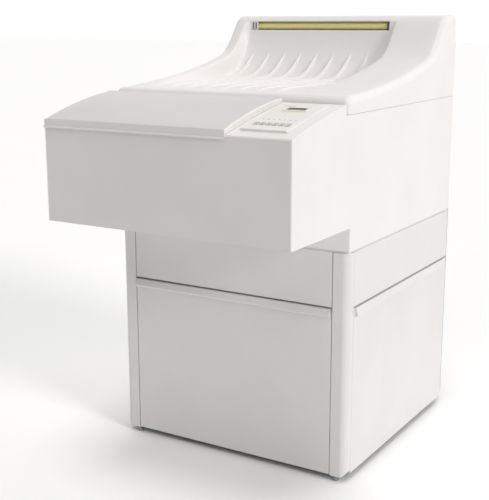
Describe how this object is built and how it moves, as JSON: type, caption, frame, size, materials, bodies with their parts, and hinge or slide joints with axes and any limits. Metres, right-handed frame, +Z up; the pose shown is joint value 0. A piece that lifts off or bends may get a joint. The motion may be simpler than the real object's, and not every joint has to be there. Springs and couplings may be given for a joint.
{
  "type": "film processor",
  "caption": "Floor-standing x-ray film processor: cabinet stand with doors, overhanging feed unit with lid and keypad, swept cover with a ribbed receiving tray under its exit slot.",
  "frame": {"origin": "on the floor, under the middle of the whole machine", "axes": "+Z up; +X to the right of an operator who faces the machine; the operator stands on the -Y side, where film is fed in"},
  "size_m": [0.616, 0.847, 1.011],
  "materials": {
    "stand_powder_coat": "satin",
    "galvanised_sheet": "brushed",
    "foot_steel": "matt",
    "bottle_plastic": "matt",
    "hose_plastic": "matt",
    "housing_plastic": "fine texture",
    "tray_steel": "brushed",
    "console_plastic": "matt",
    "display_plastic": "gloss",
    "key_plastic": "matt",
    "pin_steel": "brushed",
    "tank_plastic": "matt",
    "rack_plastic": "matt",
    "squeegee_rubber": "matt",
    "roller_plastic": "satin",
    "exit_roller_rubber": "matt",
    "motor_paint": "satin",
    "belt_rubber": "matt",
    "tube_aluminium": "satin",
    "blower_plastic": "matt",
    "wheel_plastic": "matt",
    "board_laminate": "satin",
    "inlet_plastic": "matt"
  },
  "bodies": {
    "frame": {"front_post_left": "stand_powder_coat", "front_post_right": "stand_powder_coat", "rear_posts": "galvanised_sheet", "base_tray": "galvanised_sheet", "top_deck": "stand_powder_coat", "upper_front_panel": "stand_powder_coat", "upper_left_panel": "stand_powder_coat", "upper_right_panel": "stand_powder_coat", "stand_back_panel": "stand_powder_coat", "developer_bottle": "bottle_plastic", "fixer_bottle": "bottle_plastic", "supply_hoses": "hose_plastic", "base_pan": "galvanised_sheet", "left_side_panel": "housing_plastic", "right_side_panel": "housing_plastic", "body_back_panel": "housing_plastic", "front_bulkhead": "housing_plastic", "feed_housing": "housing_plastic", "feed_deck": "housing_plastic", "feed_tray": "tray_steel", "control_plate": "console_plastic", "display_window": "display_plastic", "lid_hinge_pins": "pin_steel", "tank_block": "tank_plastic", "developer_rack": "rack_plastic", "fixer_rack": "rack_plastic", "wash_rack": "rack_plastic", "exit_frame": "rack_plastic", "drive_motor": "motor_paint", "drive_belts": "belt_rubber", "dryer_tubes": "tube_aluminium", "dryer_blower": "blower_plastic", "control_board": "board_laminate", "mains_inlet": "inlet_plastic"},
    "front_door": {"front_door": "stand_powder_coat"},
    "left_door": {"left_door": "stand_powder_coat"},
    "right_door": {"right_door": "stand_powder_coat"},
    "levelling_feet": {"levelling_feet": "foot_steel"},
    "feed_lid": {"feed_lid": "housing_plastic"},
    "top_cover": {"top_cover": "housing_plastic"},
    "key_1": {"key_1": "key_plastic"},
    "key_2": {"key_2": "key_plastic"},
    "key_3": {"key_3": "key_plastic"},
    "key_4": {"key_4": "key_plastic"},
    "key_5": {"key_5": "key_plastic"},
    "key_6": {"key_6": "key_plastic"},
    "feed_roller_lower": {"feed_roller_lower": "squeegee_rubber"},
    "feed_roller_upper": {"feed_roller_upper": "squeegee_rubber"},
    "developer_drive_roller": {"developer_drive_roller": "roller_plastic"},
    "fixer_drive_roller": {"fixer_drive_roller": "roller_plastic"},
    "wash_drive_roller": {"wash_drive_roller": "roller_plastic"},
    "developer_turn_roller": {"developer_turn_roller": "roller_plastic"},
    "fixer_turn_roller": {"fixer_turn_roller": "roller_plastic"},
    "wash_turn_roller": {"wash_turn_roller": "roller_plastic"},
    "squeegee_roller_lower": {"squeegee_roller_lower": "squeegee_rubber"},
    "squeegee_roller_upper": {"squeegee_roller_upper": "squeegee_rubber"},
    "exit_roller_front": {"exit_roller_front": "exit_roller_rubber"},
    "exit_roller_rear": {"exit_roller_rear": "exit_roller_rubber"},
    "motor_pulley": {"motor_pulley": "pin_steel"},
    "blower_wheel": {"blower_wheel": "wheel_plastic"}
  },
  "joints": [
    {"name": "front_door_hinge", "type": "hinge", "parent": "frame", "child": "front_door", "pos_m": [0, -0.1605, 0.024], "axis": [1, 0, 0], "range_deg": [0, 45]},
    {"name": "right_door_hinge", "type": "hinge", "parent": "frame", "child": "right_door", "pos_m": [0.294, 0.1335, 0.024], "axis": [0, 1, 0], "range_deg": [0, 45]},
    {"name": "left_door_hinge", "type": "hinge", "parent": "frame", "child": "left_door", "pos_m": [-0.294, 0.1335, 0.024], "axis": [0, -1, 0], "range_deg": [0, 45]},
    {"name": "levelling_feet_slide", "type": "slide", "parent": "frame", "child": "levelling_feet", "axis": [0, 0, -1], "range_m": [0, 0.01]},
    {"name": "feed_lid_hinge", "type": "hinge", "parent": "frame", "child": "feed_lid", "pos_m": [0, -0.1975, 0.83967], "axis": [-1, 0, 0], "range_deg": [0, 100]},
    {"name": "top_cover_slide", "type": "slide", "parent": "frame", "child": "top_cover", "axis": [0, 0, 1], "range_m": [0, 0.2]},
    {"name": "key_1_press", "type": "slide", "parent": "frame", "child": "key_1", "axis": [0, 0.1993, -0.9799], "range_m": [0, 0.0008], "stiffness_N_per_m": 400, "springref_m": -0.0005},
    {"name": "key_2_press", "type": "slide", "parent": "frame", "child": "key_2", "axis": [0, 0.1993, -0.9799], "range_m": [0, 0.0008], "stiffness_N_per_m": 400, "springref_m": -0.0005},
    {"name": "key_3_press", "type": "slide", "parent": "frame", "child": "key_3", "axis": [0, 0.1993, -0.9799], "range_m": [0, 0.0008], "stiffness_N_per_m": 400, "springref_m": -0.0005},
    {"name": "key_4_press", "type": "slide", "parent": "frame", "child": "key_4", "axis": [0, 0.1993, -0.9799], "range_m": [0, 0.0008], "stiffness_N_per_m": 400, "springref_m": -0.0005},
    {"name": "key_5_press", "type": "slide", "parent": "frame", "child": "key_5", "axis": [0, 0.1993, -0.9799], "range_m": [0, 0.0008], "stiffness_N_per_m": 400, "springref_m": -0.0005},
    {"name": "key_6_press", "type": "slide", "parent": "frame", "child": "key_6", "axis": [0, 0.1993, -0.9799], "range_m": [0, 0.0008], "stiffness_N_per_m": 400, "springref_m": -0.0005},
    {"name": "feed_roller_lower_spin", "type": "hinge", "parent": "frame", "child": "feed_roller_lower", "pos_m": [-0.05, -0.2115, 0.785], "axis": [1, 0, 0], "continuous": true},
    {"name": "feed_roller_upper_spin", "type": "hinge", "parent": "frame", "child": "feed_roller_upper", "pos_m": [-0.05, -0.2115, 0.8093], "axis": [1, 0, 0], "continuous": true},
    {"name": "developer_drive_roller_spin", "type": "hinge", "parent": "frame", "child": "developer_drive_roller", "pos_m": [-0.05, -0.0305, 0.785], "axis": [1, 0, 0], "continuous": true},
    {"name": "fixer_drive_roller_spin", "type": "hinge", "parent": "frame", "child": "fixer_drive_roller", "pos_m": [-0.05, 0.1285, 0.785], "axis": [1, 0, 0], "continuous": true},
    {"name": "wash_drive_roller_spin", "type": "hinge", "parent": "frame", "child": "wash_drive_roller", "pos_m": [-0.05, 0.2725, 0.785], "axis": [1, 0, 0], "continuous": true},
    {"name": "developer_turn_roller_spin", "type": "hinge", "parent": "frame", "child": "developer_turn_roller", "pos_m": [-0.05, -0.0685, 0.586], "axis": [1, 0, 0], "continuous": true},
    {"name": "fixer_turn_roller_spin", "type": "hinge", "parent": "frame", "child": "fixer_turn_roller", "pos_m": [-0.05, 0.0905, 0.586], "axis": [1, 0, 0], "continuous": true},
    {"name": "wash_turn_roller_spin", "type": "hinge", "parent": "frame", "child": "wash_turn_roller", "pos_m": [-0.05, 0.2345, 0.586], "axis": [1, 0, 0], "continuous": true},
    {"name": "squeegee_roller_lower_spin", "type": "hinge", "parent": "frame", "child": "squeegee_roller_lower", "pos_m": [-0.05, 0.3015, 0.785], "axis": [1, 0, 0], "continuous": true},
    {"name": "squeegee_roller_upper_spin", "type": "hinge", "parent": "frame", "child": "squeegee_roller_upper", "pos_m": [-0.05, 0.3015, 0.8093], "axis": [1, 0, 0], "continuous": true},
    {"name": "exit_roller_front_spin", "type": "hinge", "parent": "frame", "child": "exit_roller_front", "pos_m": [-0.05, 0.3755, 0.984], "axis": [1, 0, 0], "continuous": true},
    {"name": "exit_roller_rear_spin", "type": "hinge", "parent": "frame", "child": "exit_roller_rear", "pos_m": [-0.05, 0.4018, 0.984], "axis": [1, 0, 0], "continuous": true},
    {"name": "motor_pulley_spin", "type": "hinge", "parent": "frame", "child": "motor_pulley", "pos_m": [-0.05, -0.1265, 0.785], "axis": [1, 0, 0], "continuous": true},
    {"name": "blower_wheel_spin", "type": "hinge", "parent": "frame", "child": "blower_wheel", "pos_m": [-0.275, 0.3645, 0.647], "axis": [1, 0, 0], "continuous": true}
  ],
  "couplings": [
    {"joint": "feed_roller_lower_spin", "follows": "developer_drive_roller_spin", "ratio": 1},
    {"joint": "feed_roller_upper_spin", "follows": "developer_drive_roller_spin", "ratio": -1},
    {"joint": "fixer_drive_roller_spin", "follows": "developer_drive_roller_spin", "ratio": 1},
    {"joint": "wash_drive_roller_spin", "follows": "developer_drive_roller_spin", "ratio": 1},
    {"joint": "squeegee_roller_lower_spin", "follows": "developer_drive_roller_spin", "ratio": 1},
    {"joint": "squeegee_roller_upper_spin", "follows": "developer_drive_roller_spin", "ratio": -1},
    {"joint": "exit_roller_front_spin", "follows": "developer_drive_roller_spin", "ratio": -1},
    {"joint": "exit_roller_rear_spin", "follows": "developer_drive_roller_spin", "ratio": 1},
    {"joint": "motor_pulley_spin", "follows": "developer_drive_roller_spin", "ratio": 1}
  ]
}
